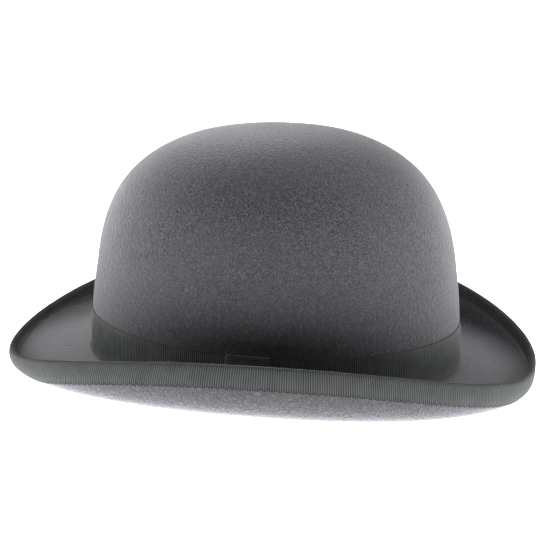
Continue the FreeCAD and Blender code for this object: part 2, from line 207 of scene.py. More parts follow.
class Brim:
    """The brim's middle surface at many azimuths, with a section for each: u is outwards from the crown.

    A section is a cubic B-spline: down the wall, out along the brim, through the trough and up the roll.
    """

    KNOTS = np.array([0, 0, 0, 0, 0.2, 0.4, 0.6, 0.8, 1, 1, 1, 1])

    def __init__(self, azimuth):
        self.azimuth = azimuth
        back, side = np.sin(azimuth), np.cos(2 * azimuth)
        exponent = 2 / RIM_PLAN_POWER
        rim_x = RIM_HALF[0] * signed_power(np.cos(azimuth), exponent)
        rim_y = RIM_HALF[1] * signed_power(np.sin(azimuth), exponent) - CROWN_CENTRE_Y
        start_x = CROWN_HALF[0] * np.cos(azimuth)
        start_y = (CROWN_HALF[1] + FOOT_SPREAD) * np.sin(azimuth) - FOOT_FORWARD
        width = np.hypot(rim_x - start_x, rim_y - start_y)
        self.start = (start_x, start_y)
        self.out = ((rim_x - start_x) / width, (rim_y - start_y) / width)
        crest = CREST[0] + CREST[1] * back + CREST[2] * side
        trough = TROUGH[0] + TROUGH[1] * back + TROUGH[2] * side
        trough_u = (TROUGH_PLACE[0] + TROUGH_PLACE[1] * side) * width
        roll_u = width + ROLL_OUT[0] + ROLL_OUT[1] * side
        rise = crest - trough
        wall_u = -FELT / 2
        u = (wall_u, wall_u, wall_u + 0.2 * MM, 0.12 * width + 2 * MM, trough_u, roll_u, roll_u, width)
        z = (WALL_TOP, 2.2 * MM, BRIM_ROOT, BRIM_ROOT,
             trough, trough + 0.12 * rise, trough + 0.62 * rise, crest)
        self.poles = np.stack([np.stack(np.broadcast_arrays(*values)) for values in (u, z)], axis=-1)
        self.t_dense = np.linspace(0, 1, 400)
        self.before = travelled(self.section(self.t_dense)[::-1])[::-1]

    def basis(self, t):
        """The eight cubic basis functions at t, on a new last axis."""
        t = np.clip(t, 0, 1 - 1e-9)[..., None]
        knots = self.KNOTS
        value = ((knots[:-1] <= t) & (t < knots[1:])).astype(float)
        for degree in (1, 2, 3):
            rise = knots[degree:-1] - knots[:-degree - 1]
            fall = knots[degree + 1:] - knots[1:-degree]
            up = np.where(rise > 0, (t - knots[:-degree - 1]) / np.where(rise > 0, rise, 1), 0)
            down = np.where(fall > 0, (knots[degree + 1:] - t) / np.where(fall > 0, fall, 1), 0)
            value = up * value[..., :-1] + down * value[..., 1:]
        return value

    def section(self, t):
        """Points (u, z) of all sections: t is one list for all, or one column for each azimuth."""
        weights = self.basis(t)
        if t.ndim == 1:
            return np.einsum("mk,knc->mnc", weights, self.poles)
        return np.einsum("mnk,knc->mnc", weights, self.poles)

    def upward(self, t):
        """The section's unit normal, towards the brim's upper face."""
        ahead = self.section(np.minimum(t + 1e-4, 1.0)) - self.section(t - 1e-4 * (t > 0.5))
        ahead /= np.linalg.norm(ahead, axis=-1, keepdims=True)
        return np.stack([-ahead[..., 1], ahead[..., 0]], axis=-1)

    def place(self, uz, t):
        """Section points in the hat's frame. The crown's lean fades out down the wall."""
        x = self.start[0] + self.out[0] * uz[..., 0]
        y = self.start[1] + self.out[1] * uz[..., 0]
        fade = np.maximum(0, 1 - t / 0.3) ** 2
        if fade.ndim == 1:
            fade = fade[:, None]
        return leaned(x, y, uz[..., 1], np.sin(self.azimuth), fade)

    def face(self, t, distance):
        """The section moved square to itself, up where distance is positive. Rows are t, columns azimuths."""
        return self.place(self.section(t) + self.upward(t) * np.asarray(distance)[..., None], t)

    def crest(self, degrees, radius):
        """The round crest: 90 degrees is its upper face, -90 its under face."""
        angles = np.radians(degrees)[:, None, None]
        end = np.ones(len(angles))
        upward = self.upward(end)
        tangent = np.stack([upward[..., 1], -upward[..., 0]], axis=-1)
        spoke = tangent * np.cos(angles) + upward * np.sin(angles)
        return self.place(self.section(end) + spoke * radius, end)

    def before_crest(self, distances):
        """Curve parameters at the distances before the crest: rows are distances, columns azimuths."""
        count = len(self.azimuth)
        distances = np.broadcast_to(distances, (len(distances), count))
        columns = [np.interp(-distances[:, k], -self.before[:, k], self.t_dense) for k in range(count)]
        return np.stack(columns, axis=-1)


def even_azimuths(line, count=None):
    """Azimuths evenly spaced along the closed curve line(azimuths), and the curve's length.

    Without a count there are as many as a ribbon along the curve needs for its ribs.
    """
    dense = np.linspace(0, TAU, 4001)
    lengths = travelled(line(dense))
    count = count or round(lengths[-1] / RIB_PITCH) * PER_RIB
    return np.interp(evenly(count, lengths[-1]), lengths, dense), lengths[-1]


def ripple(azimuth, seed, first, last, size):
    """A smooth closed unevenness with waves from `first` to `last` times round."""
    random = np.random.default_rng(seed)
    total = 0 * azimuth
    share = np.sqrt(last - first + 1)
    for waves in range(first, last + 1):
        total = total + random.normal() * np.sin(waves * azimuth + random.uniform(0, TAU)) / share
    return size * total


# ---- meshes ----

def add_object(name, data):
    added = bpy.data.objects.new(name, data)
    bpy.context.scene.collection.objects.link(added)
    return added


def smooth_mesh(name, points, polygons):
    mesh = bpy.data.meshes.new(name)
    mesh.from_pydata(points.tolist(), [], polygons)
    mesh.polygons.foreach_set("use_smooth", [True] * len(mesh.polygons))
    mesh.update()
    return mesh


def finish_piece(name, mesh, material):
    piece = add_object(name, mesh)
    mesh.materials.append(material)
    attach(piece, "root")
    return piece


def inside_out(points, quads):
    """Whether the quads of a closed mesh face inwards, from the sign of the volume that they enclose."""
    a, b, c, d = (points[quads[:, k]] for k in range(4))
    return np.einsum("ij,ij->", a, np.cross(b, c)) + np.einsum("ij,ij->", a, np.cross(c, d)) < 0


CORNERS = ((0, 0), (1, 0), (1, 1), (0, 1))


def grid_quads(r, c, rows, columns, corners):
    """Quads from rows r and columns c to the next ones, where points are numbered row by row."""
    return np.stack([((r + dr) % rows * columns + (c + dc) % columns).ravel() for dr, dc in corners], axis=-1)


def grid_object(name, grid, material, round_rows=True, along=None, across=None):
    """A closed mesh from a grid of points: rows go round the hat or along a piece, columns round a section.

    along and across are the ribbon's own coordinates in metres, kept as a UV map for the material.
    """
    rows, columns = grid.shape[:2]
    points = grid.reshape(-1, 3)
    r = np.arange(rows if round_rows else rows - 1)[:, None]
    c = np.arange(columns)[None, :]
    quads = grid_quads(r, c, rows, columns, CORNERS)
    turn = -1 if inside_out(points - points.mean(axis=0), quads) else 1
    polygons = quads[:, ::turn].tolist()
    if not round_rows:
        ends = np.arange(columns), np.arange(columns)[::-1] + (rows - 1) * columns
        polygons += [end[::turn].tolist() for end in ends[::-1]]
    mesh = smooth_mesh(name, points, polygons)
    if along is not None:
        u = np.append(along, along[-1] * 2 - along[-2])
        v = np.append(across, across[0])
        pairs = [np.broadcast_arrays(u[r + dr], v[c + dc]) for dr, dc in CORNERS[::turn]]
        values = np.zeros((len(mesh.loops), 2))
        values[:quads.size] = np.moveaxis(np.array(pairs), (0, 1), (2, 3)).reshape(-1, 2)
        mesh.uv_layers.new(name="ribbon").data.foreach_set("uv", values.ravel())
    return finish_piece(name, mesh, material)


def dome_object(name, grid, material):
    """A closed shell from lines that start and end at a pole, so its end columns are one point each."""
    rows = len(grid)
    inner = grid[:, 1:-1]
    wide = inner.shape[1]
    points = np.vstack([inner.reshape(-1, 3), grid[:, 0].mean(axis=0), grid[:, -1].mean(axis=0)])
    first, last = rows * wide, rows * wide + 1
    r = np.arange(rows)[:, None]
    c = np.arange(wide - 1)[None, :]
    quads = grid_quads(r, c, rows, wide, [corner[::-1] for corner in CORNERS])
    polygons = quads.tolist()
    for row in range(rows):
        start, following = row * wide, (row + 1) % rows * wide
        polygons.append([first, start, following])
        polygons.append([last, following + wide - 1, start + wide - 1])
    if inside_out(points, quads):
        polygons = [polygon[::-1] for polygon in polygons]
    return finish_piece(name, smooth_mesh(name, points, polygons), material)


def resampled(lines, fractions):
    """Lines (points, azimuths, 3) at fractions of their lengths: one list, or one column for each azimuth."""
    lengths = travelled(lines)
    if fractions.ndim == 1:
        fractions = np.repeat(fractions[:, None], lines.shape[1], axis=1)
    result = np.empty(fractions.shape + (3,))
    for k in range(lines.shape[1]):
        wanted = fractions[:, k] * lengths[-1, k]
        for axis in range(3):
            result[:, k, axis] = np.interp(wanted, lengths[:, k], lines[:, k, axis])
    return result


def ribbon_section(count, edge=0.012):
    """Fractions across a ribbon, close together at its edges, and its relative thickness there."""
    near = np.array([0.0, 0.25, 0.6, 1.0]) * edge
    middle = np.linspace(2.2 * edge, 1 - 2.2 * edge, count)
    fractions = np.concatenate([near, middle, 1 - near[::-1]])
    distance = np.clip(np.minimum(fractions, 1 - fractions) / edge, 0, 1)
    return fractions, np.sqrt(distance * (2 - distance))


def rib_wave(count):
    """A ribbed height from 0 in the grooves to 1, as `count` samples."""
    return (0.5 - 0.5 * np.cos(TAU * np.arange(count) / PER_RIB)) ** 0.7


def closed_sheet(outer, inner, thickness):
    """A section loop for each azimuth: out on the outer face, at its relative thickness, and back inside."""
    return np.swapaxes(ring(inner + (outer - inner) * thickness[..., None], inner), 0, 1)


# ---- felt body ----

def dome_angles(z_last, inset, count):
    """Angles from the top to the height z_last, about evenly spaced along the dome."""
    dense = np.linspace(0, dome_angle(z_last, inset), 2000)
    lengths = travelled(dome(pi / 4, dense, inset))
    return np.interp(np.linspace(0, lengths[-1], count), lengths, dense)


def dome_unevenness(azimuth, angle):
    """The slight waviness of hand-blocked felt, fading out at the top and at the band."""
    waves = ripple(azimuth, 3, 2, 7, 0.16 * MM) * np.sin(2.1 * angle)
    waves = waves + ripple(azimuth, 4, 3, 9, 0.12 * MM) * np.sin(4.3 * angle)
    return waves * np.sin(np.minimum(angle * 1.06, pi / 2) * 2) ** 2


def felt_body(material):
    azimuth = evenly(360)
    brim = Brim(azimuth)
    halves = []
    outer, inner = (0.0, FELT / 2, 72, 46), (FELT, -FELT / 2, 40, 40)
    for inset, distance, crown_count, brim_count in (outer, inner):
        angle = dome_angles(WALL_TOP + 1.5 * MM, inset, crown_count)[:, None]
        crown = dome(azimuth, angle, inset + dome_unevenness(azimuth, angle))
        halves.append(np.concatenate([crown, brim.face(np.linspace(0, 1, brim_count), distance)]))
    crest = brim.crest([60, 30, 0, -30, -60], FELT / 2)
    line = np.concatenate([halves[0], crest, halves[1][::-1]])
    piece = dome_object("felt_shell", np.swapaxes(line, 0, 1), material)
    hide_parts("felt_body")


# ---- band ----

def band_top(azimuth):
    """The height of the band's top edge, a little lower at the sides."""
    return BAND_TOP[0] + BAND_TOP[1] * np.cos(2 * azimuth)


def band_lines(azimuth, brim, proud):
    """Dense lines down the outside of the crown, cut to the band's width."""
    top = band_top(azimuth)
    heights = top + (WALL_TOP + 1 * MM - top) * np.linspace(0, 1, 14)[:, None]
    flare = brim.face(np.linspace(0, 0.4, 60), FELT / 2 + proud)
    lines = np.concatenate([wall(azimuth, heights, -proud), flare])
    return resampled(lines, np.linspace(0, 1, 50)[:, None] * (BAND_WIDTH / travelled(lines)[-1]))


def hat_band(material):
    azimuth, length = even_azimuths(lambda dense: wall(dense, 16 * MM, -RIBBON))
    brim = Brim(azimuth)
    fractions, thickness = ribbon_section(8, 0.009)
    inner = resampled(band_lines(azimuth, brim, GAP), fractions)
    outer = resampled(band_lines(azimuth, brim, GAP + RIBBON), fractions)
    stands_off = 0.55 * np.exp(-(fractions * BAND_WIDTH / (0.7 * MM)) ** 2)
    inner = inner + (outer - inner) * stands_off[:, None, None]
    selvedge = np.clip((np.minimum(fractions, 1 - fractions) - 0.006) / 0.008, 0, 1)
    ribs = 1 - BAND_RIB_DEPTH * selvedge[:, None] * (1 - rib_wave(len(azimuth)))
    grid = closed_sheet(outer, inner, thickness[:, None] * ribs)
    piece = grid_object("band_ribbon", grid, material,
                        along=evenly(len(azimuth), length), across=ring(fractions, fractions) * BAND_WIDTH)
    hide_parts("hat_band")


# ---- bow ----

# The knot's section, going round: millimetres above the band's top edge and proud of the felt.
KNOT_OUTLINE = [(0.05, 0.1), (0.45, 0.12), (0.72, 0.45), (0.75, 0.9), (0.5, 1.3), (-0.1, 1.58), (-1.5, 1.75),
                (-5.0, 1.85), (-10.0, 1.9), (-15.0, 1.85), (-19.0, 1.75), (-20.8, 1.6), (-21.5, 1.3),
                (-21.6, 0.98), (-21.0, 0.78), (-17.0, 0.74), (-9.0, 0.74), (-1.0, 0.74), (0.0, 0.7)]


def at_distances(wanted, points):
    """Points of the plane line `points` at the wanted distances along it."""
    lengths = travelled(points)
    return np.stack([np.interp(wanted, lengths, points[:, k]) for k in range(2)], axis=-1)


def smooth_loop(points, count):
    """A closed Catmull-Rom curve through plane points, as `count` evenly spaced points, and its length."""
    a, b, c, d = (np.roll(points, shift, 0)[:, None, :] for shift in (1, 0, -1, -2))
    t = np.linspace(0, 1, 12, endpoint=False)[None, :, None]
    dense = 0.5 * (2 * b + (c - a) * t + (2 * a - 5 * b + 4 * c - d) * t ** 2
                   + (3 * b - a - 3 * c + d) * t ** 3)
    dense = dense.reshape(-1, 2)
    dense = np.vstack([dense, dense[:1]])
    length = travelled(dense)[-1]
    return at_distances(evenly(count, length), dense), length


def plane_normals(ahead):
    """Unit normals of a plane line, to the left of its directions."""
    normal = np.stack([-ahead[:, 1], ahead[:, 0]], axis=-1)
    return normal / np.linalg.norm(normal, axis=-1, keepdims=True)


def bow_knot(material):
    outline, length = smooth_loop(np.array(KNOT_OUTLINE) * MM, KNOT_RIBS * PER_RIB)
    outwards = -plane_normals(np.roll(outline, -1, 0) - np.roll(outline, 1, 0))
    front = np.clip((outline[:, 1] - 0.9 * MM) / (0.5 * MM), 0, 1)
    grooves = (rib_wave(len(outline)) - 1) * KNOT_RIB_DEPTH
    centre = np.array([-10.5 * MM, 1.3 * MM])
    sections = []
    for place in np.linspace(-1, 1, 41):
        edge = max(0.0, (abs(place) - 0.94) / 0.06)
        fold = 0.1 * MM * np.cos(place * 7.5) + 0.06 * MM * np.cos(place * 17 + 1)
        ribbed = outline + outwards * (grooves + fold * front)[:, None]
        section = centre + (ribbed - centre) * np.array([1 - 0.03 * edge ** 2, 1 - 0.16 * edge ** 2])
        waist = 1 - 0.02 * np.cos((section[:, 0] + 11 * MM) / (12 * MM) * pi / 2)
        azimuth = BOW_AZIMUTH + KNOT_WIDTH / 2 / CROWN_HALF[1] * place * waist
        sections.append(wall(azimuth, band_top(BOW_AZIMUTH) + section[:, 0], -section[:, 1]))
    piece = grid_object("bow_tie", np.array(sections), material, round_rows=False,
                        along=np.linspace(0, KNOT_WIDTH, len(sections)), across=evenly(len(outline), length))
    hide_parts("bow_knot")


def ribbon_loop(name, path, half_height, middle, to_space, material, thickness, node, pleat):
    """A folded loop of ribbon. path holds points (along, proud); to_space maps (along, height, proud)."""
    length = travelled(path)[-1]
    count = max(6, round(length / RIB_PITCH)) * PER_RIB
    wanted = np.linspace(0, length, count)
    line = at_distances(wanted, path)
    line[1:-1] = (line[:-2] + line[1:-1] * 2 + line[2:]) / 4
    along, proud = line.T[:, :, None]
    normal_along, normal_proud = plane_normals(np.gradient(line, axis=0)).T[:, :, None]
    heights = half_height(along)
    fractions, edge = ribbon_section(9, 0.02)
    places = fractions * 2 - 1
    ribs = 1 - LOOP_RIB_DEPTH * (1 - rib_wave(count)[:, None])
    pinch = pleat * np.exp(-along / (9 * MM)) * np.cos(places * 8)
    faces = []
    for amount in (0.5 * edge * ribs, -0.5 * edge):
        shift = amount * thickness + pinch
        faces.append(to_space(along + normal_along * shift, middle + heights * places,
                              proud + normal_proud * shift))
    grid = np.concatenate([faces[0], faces[1][:, ::-1][:, 1:-1]], axis=1)
    piece = grid_object(name, grid, material, round_rows=False, along=wanted,
                        across=ring(fractions, fractions) * 2 * heights.max())
    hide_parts(node)


def loop_path(length, rest, bulge, tuck=0.8):
    """A loop's path in (along, proud): out from the knot, round at its tip and back underneath."""
    shares = [(0.0, 0.55), (0.15, 0.8), (0.4, 1.0), (0.7, 0.92), (0.9, 0.72), (0.975, 0.5), (1.0, 0.3),
              (0.985, 0.12), (0.93, 0.04), (tuck, 0.02), (0.4, 0.02), (0.05, 0.02)]
    points = np.array([0, rest]) + np.array(shares) * (length, bulge)
    dense = np.linspace(0, len(points) - 1, 160)
    return np.stack([np.interp(dense, range(len(points)), points[:, k]) for k in range(2)], axis=-1)


def bow_loops(material):
    def half_height(along):
        return LOOP_HALF_HEIGHT * (0.62 + 0.36 * np.sin(np.clip(along / (15 * MM), 0, 1) * pi / 2))

    path = loop_path(LOOP_LENGTH, 2 * GAP + RIBBON + 0.35 * MM, 1.6 * MM)
    loops = (("bow_loop_fore", "bow_loop_front", -1), ("bow_loop_aft", "bow_loop_back", 1))
    for name, node, direction in loops:
        knot_edge = BOW_AZIMUTH + direction * (KNOT_WIDTH / 2 - 1 * MM) / CROWN_HALF[1]

        def to_space(along, height, proud, knot_edge=knot_edge, direction=direction):
            return wall(knot_edge + direction * along / CROWN_HALF[1], height, -proud)

        ribbon_loop(name, path, half_height, LOOP_MIDDLE, to_space, material, 0.5 * MM, node, 0.2 * MM)


# ---- brim binding ----

def rim_line(azimuth):
    return Brim(azimuth).face(np.array([0.999]), 0.0)[0]


def around_crest(brim, distance, upper_width, under_width):
    """Dense lines around the rim at `distance` from the felt's middle surface."""
    steps = np.linspace(1, 0, 26)[:, None]
    upper = brim.face(brim.before_crest(steps * upper_width), distance)
    under = brim.face(brim.before_crest(steps[::-1] * under_width), -distance)
    return np.concatenate([upper, brim.crest(np.linspace(80, -80, 11), distance), under])


def scallop(puff):
    """How far the binding's edge stands out: puff is 0 where a stitch holds it and 1 halfway between."""
    return 0.5 * MM * (puff ** 0.5 - 0.6)


def brim_binding(material):
    azimuth, length = even_azimuths(rim_line)
    brim = Brim(azimuth)
    puff = np.abs(np.sin(evenly(len(azimuth), pi * round(length / STITCH_PITCH))))
    edge = scallop(puff) + ripple(azimuth, 61, 30, 90, 0.08 * MM)
    widths = BINDING_UPPER + edge, BINDING_UNDER + edge
    fractions, thickness = ribbon_section(14)
    base = FELT / 2 + GAP
    inner = resampled(around_crest(brim, base, *widths), fractions)
    outer = resampled(around_crest(brim, base + BINDING, *widths), fractions)
    total = BINDING_UPPER + BINDING_UNDER + pi * base
    from_edge = np.minimum(fractions, 1 - fractions) * total
    selvedge = np.clip((from_edge - 0.2 * MM) / (0.3 * MM), 0, 1)
    ribs = 1 - BINDING_RIB_DEPTH * selvedge[:, None] * (1 - rib_wave(len(azimuth)))
    pull = np.exp(-(from_edge / (1.3 * MM)) ** 2)
    dents = 1 - 0.6 * pull[:, None] * (1 - puff) ** 1.5
    grid = closed_sheet(outer, inner, thickness[:, None] * ribs * dents)
    piece = grid_object("binding_ribbon", grid, material,
                        along=evenly(len(azimuth), length), across=ring(fractions, fractions) * total)
    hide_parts("brim_binding")


# ---- thread ----

def stitch_row(name, on_surface, count, stitch, material, nodes):
    """A row of separate stitches. on_surface(place, height) gives points at places 0..1 along the row."""
    share, arch, radius = stitch
    samples, sides = 13, 7
    local = np.linspace(-0.5, 0.5, samples)
    places = ((np.arange(count)[:, None] + 0.5 + share * local) / count).ravel()
    lift = arch * (1 - (2 * np.abs(local)) ** 3) - 0.35 * arch
    centre, above = (on_surface(places, np.tile(lift + more, count)).reshape(count, samples, 3)
                     for more in (0.0, 0.1 * MM))
    tangent = np.gradient(centre, axis=1)
    tangent /= np.linalg.norm(tangent, axis=-1, keepdims=True)
    up = above - centre
    up -= tangent * np.einsum("ijk,ijk->ij", up, tangent)[..., None]
    up /= np.linalg.norm(up, axis=-1, keepdims=True)
    side = np.cross(tangent, up)
    turn = evenly(sides)[:, None]
    width = radius * (1 - 0.35 * (2 * np.abs(local)) ** 4)[:, None, None]
    tube = centre[:, :, None] + (up[:, :, None] * np.cos(turn) + side[:, :, None] * np.sin(turn)) * width
    polygons = []
    for start in range(0, count * samples * sides, samples * sides):
        last = start + (samples - 1) * sides
        for row in range(start, last, sides):
            for c in range(sides):
                following = (c + 1) % sides
                polygons.append([row + c, row + following, row + sides + following, row + sides + c])
        polygons.append([start + c for c in range(sides)][::-1])
        polygons.append([last + c for c in range(sides)])
    piece = finish_piece(name, smooth_mesh(name, tube.reshape(-1, 3), polygons), material)
    if nodes:
        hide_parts(*nodes)


def binding_stitches(material):
    azimuths, length = even_azimuths(rim_line, 4000)
    count = round(length / STITCH_PITCH)
    rows = (("binding_stitches_upper", "binding_thread_upper", 1, BINDING_UPPER),
            ("binding_stitches_under", "binding_thread_under", -1, BINDING_UNDER))
    for name, node, side, width in rows:
        def on_surface(place, height, side=side, width=width):
            along_stitch = place * count % 1.0
            bend = np.clip((np.abs(along_stitch - 0.5) - 0.3) / 0.18, 0, 1) ** 2
            azimuth = np.interp(place % 1.0, np.linspace(0, 1, len(azimuths) + 1), np.append(azimuths, TAU))
            edge = width + scallop(np.sin(pi * along_stitch))
            brim = Brim(azimuth)
            t = brim.before_crest((edge + 0.12 * MM - 1.0 * MM * bend)[None, :])
            distance = side * (FELT / 2 + GAP + 0.1 * MM + BINDING * 0.8 * bend + height)
            return brim.face(t, distance[None, :])[0]

        stitch_row(name, on_surface, count, BINDING_STITCH, material, [node])


# ---- sweatband ----

def on_sweatband(azimuth, z, proud):
    """A point `proud` of the leather's inner face. The leather is less even towards its free upper edge."""
    share = (z - SWEATBAND_Z[0]) / (SWEATBAND_Z[1] - SWEATBAND_Z[0])
    inset = SWEATBAND_INSET[0] + (SWEATBAND_INSET[1] - SWEATBAND_INSET[0]) * share
    wave = ripple(azimuth, 11, 3, 9, 0.22 * MM) * np.clip(share, 0, 1) ** 2
    return wall(azimuth, z, inset + wave + LEATHER + proud)


def sweatband(material):
    """The leather, with its seat for stitches, the line pressed below its top and the joint at the back."""
    joint_half = 3.2 * MM / CROWN_HALF[0]
    at_joint = np.array([-3, -1.6, -1.1, -0.7, -0.35, 0, 0.35, 0.7, 1.1, 1.6, 3]) * MM / CROWN_HALF[0]
    azimuth = evenly(480)
    azimuth = azimuth[np.abs(azimuth - pi / 2) > joint_half]
    azimuth = np.sort(np.append(azimuth, pi / 2 + at_joint))
    bottom, top = SWEATBAND_Z
    radius = LEATHER / 2
    line_z = top - 3.2 * MM
    heights = np.linspace(bottom + radius, top - radius, 30)
    heights = np.sort(np.append(heights, line_z + np.linspace(-1, 1, 5) * radius))[:, None]
    groove = 0.2 * MM * np.exp(-((heights - line_z) / (0.3 * MM)) ** 2)
    joint = 0.3 * MM * np.exp(-((azimuth - pi / 2) * CROWN_HALF[0] / (0.45 * MM)) ** 2)
    seat = 0.16 * MM * np.exp(-((heights - SEAM_HEIGHT) / (1.3 * MM)) ** 2)
    turns = np.radians([30, 60, 90, 120, 150])[:, None]
    inner = on_sweatband(azimuth, heights, -groove - joint - seat)
    upper = on_sweatband(azimuth, top - radius + radius * np.sin(turns), radius * np.cos(turns) - radius)
    outer = on_sweatband(azimuth, heights[::-1], -LEATHER)
    lower = on_sweatband(azimuth, bottom + radius - radius * np.sin(turns), -radius - radius * np.cos(turns))
    grid = np.swapaxes(np.concatenate([inner, upper, outer, lower]), 0, 1)
    piece = grid_object("sweatband_leather", grid, material)
    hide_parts("sweatband")


def sweatband_stitches(material):
    def on_surface(place, height):
        return on_sweatband(pi / 2 + place * TAU, SEAM_HEIGHT, height - 0.16 * MM)

    stitch_row("sweatband_stitches", on_surface, SEAT_STITCHES, SEAT_STITCH, material,
               ["sweatband_thread"])


def seam_stitches(material):
    """The zigzag that joins the leather's ends at the back."""
    bottom, top = SWEATBAND_Z[0] + 8 * MM, SWEATBAND_Z[1] - 13 * MM

    def on_surface(place, height):
        z = bottom + (top - bottom) * place
        swing = np.abs((place * JOINT_STITCHES) % 2 - 1) * 2 - 1
        return on_sweatband(pi / 2 + swing * 1.5 * MM / CROWN_HALF[0], z, height + 0.02 * MM)

    stitch_row("sweatband_seam_stitches", on_surface, JOINT_STITCHES, JOINT_STITCH, material,
               [])


def small_bow(material):
    def half_height(along):
        return 2.2 * MM + 1.5 * MM * np.clip(along / (12 * MM), 0, 1) ** 0.7

    path = loop_path(13.5 * MM, 0.25 * MM, 1.1 * MM, 0.7)
    loops = (("small_bow_fore", "sweatband_bow_left", -1), ("small_bow_aft", "sweatband_bow_right", 1))
    for name, node, direction in loops:
        def to_space(along, height, proud, direction=direction):
            return on_sweatband(pi / 2 + direction * (2.2 * MM + along) / CROWN_HALF[0], height, proud)

        ribbon_loop(name, path, half_height, SMALL_BOW_HEIGHT, to_space, material, 0.3 * MM, node, 0.1 * MM)
    turn = evenly(72)
    ribbed = 1 - 0.05 * np.cos(turn * 9)
    sections = []
    for place in np.linspace(-1, 1, 17):
        end = 1 - 0.25 * abs(place) ** 6
        height = SMALL_BOW_HEIGHT + 2.9 * MM * np.sin(turn) * (1 - 0.08 * np.cos(place * pi)) * ribbed
        proud = 1.05 * MM + 0.85 * MM * signed_power(np.cos(turn), 0.7) * end * ribbed
        sections.append(on_sweatband(pi / 2 + place * 2.7 * MM / CROWN_HALF[0], height, proud))
    piece = grid_object("small_bow_tie", np.array(sections), material, round_rows=False,
                        along=evenly(17, 5.78 * MM), across=evenly(72, 18 * MM))
    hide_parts("sweatband_bow_knot")


def size_label(material, ink):
    """The woven tab with soft edges, and its number laid on it."""
    bottom, top = LABEL_Z
    soft = np.array([0.0, 0.3, 0.8, 1.0]) * 0.5 * MM
    up = np.concatenate([bottom + soft, np.linspace(bottom + 1.2 * MM, top - 1.2 * MM, 12), top - soft[::-1]])
    rim = np.clip(np.minimum(up - bottom, top - up) / (0.5 * MM), 0.15, 1)
    sections = []
    for place in np.linspace(-1, 1, 25):
        azimuth = LABEL_AZIMUTH + LABEL_HALF_WIDTH / CROWN_HALF[0] * place
        side = np.clip((1 - abs(place)) / 0.05, 0.15, 1)
        front = on_sweatband(azimuth, up, GAP + 0.26 * MM * np.sqrt(rim * side))
        sections.append(ring(front, on_sweatband(azimuth, up, GAP)))
    piece = grid_object("size_tab", np.array(sections), material, round_rows=False)
    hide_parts("size_label")

    text = bpy.data.curves.new("size_number", "FONT")
    text.body = "57"
    text.size = 7.5 * MM
    text.align_x = text.align_y = "CENTER"
    text.extrude = 0.06 * MM
    text.resolution_u = 6
    flat = add_object("size_number_flat", text)
    mesh = bpy.data.meshes.new_from_object(flat)
    bpy.data.objects.remove(flat)
    x, y, z = np.array([vertex.co[:] for vertex in mesh.vertices]).T
    placed = on_sweatband(LABEL_AZIMUTH + x / CROWN_HALF[0], (bottom + top) / 2 + y, GAP + 0.3 * MM + z)
    mesh.vertices.foreach_set("co", placed.ravel())
    mesh.update()
    finish_piece("size_number", mesh, ink)


# ---- lining ----

def pleats(azimuth, seed):
    """Uneven gathers from 0 to about 1: a ridged wave whose pitch and height wander."""
    ridge = 0.5 + 0.5 * np.cos(76 * azimuth + ripple(azimuth, seed, 5, 13, 1.5))
    finer = 0.5 + 0.5 * np.cos(131 * azimuth + ripple(azimuth, seed + 1, 7, 19, 2.0))
    return np.clip(0.7 * ridge ** 1.3 + 0.3 * finer + ripple(azimuth, seed + 2, 9, 23, 0.14), 0, 1.15)


def satin_grid(azimuth, angles, inset):
    """A thin sheet under the dome, from the inset of its outer face."""
    outer, inner = dome(azimuth, angles, inset), dome(azimuth, angles, inset + SATIN)
    return np.swapaxes(np.concatenate([outer, inner[::-1]]), 0, 1)


def lining_side(material):
    azimuth = evenly(1520)
    first, last = dome_angle(LINING_SEAM, LINING_INSET), dome_angle(LINING_BOTTOM, LINING_INSET)
    angles = (first + (last - first) * np.linspace(0, 1, 26) ** 1.2)[:, None]
    share = (angles - first) / (last - first)
    height = (1.25 * MM * np.exp(-share * 3.2) + 0.35 * MM * (1 - share)) * np.clip(share / 0.03, 0.25, 1)
    slow = ripple(azimuth, 31, 6, 16, 0.4 * MM) * share * (1 - share)
    inset = LINING_INSET - 0.3 * MM + pleats(azimuth, 21) * height + slow
    piece = grid_object("lining_wall", satin_grid(azimuth, angles, inset), material)
    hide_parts("lining_side")


def lining_tip(material):
    azimuth = evenly(960)
    last = dome_angle(LINING_SEAM, LINING_INSET) - radians(0.4)
    angles = (last * np.linspace(0, 1, 40) ** 0.85)[:, None]
    at_edge = np.clip((angles / last - 0.8) / 0.2, 0, 1) ** 2
    inset = LINING_INSET - 0.1 * MM + pleats(azimuth, 41) * 0.5 * MM * at_edge
    piece = dome_object("lining_crown", satin_grid(azimuth, angles, inset), material)
    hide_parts("lining_tip")


def lining_piping(material):
    azimuth, turn = evenly(900), evenly(16)[:, None]
    radius = PIPING_RADIUS * (1 + ripple(azimuth, 51, 40, 70, 0.035))
    inset = LINING_INSET + SATIN + 2 * GAP + PIPING_RADIUS + radius * np.cos(turn)
    grid = np.swapaxes(wall(azimuth, LINING_SEAM + radius * np.sin(turn), inset), 0, 1)
    piece = grid_object("lining_cord", grid, material)
    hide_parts("lining_piping")


def shield_stitches(material):
    face = LINING_INSET + SATIN + 2 * GAP + SHIELD

    def on_surface(place, height):
        return dome(place * TAU, SHIELD_ANGLE - radians(1.0), face + height)

    stitch_row("tip_shield_stitches", on_surface, SHIELD_STITCHES, SHIELD_STITCH, material,
               ["tip_shield_thread"])


# ---- materials ----

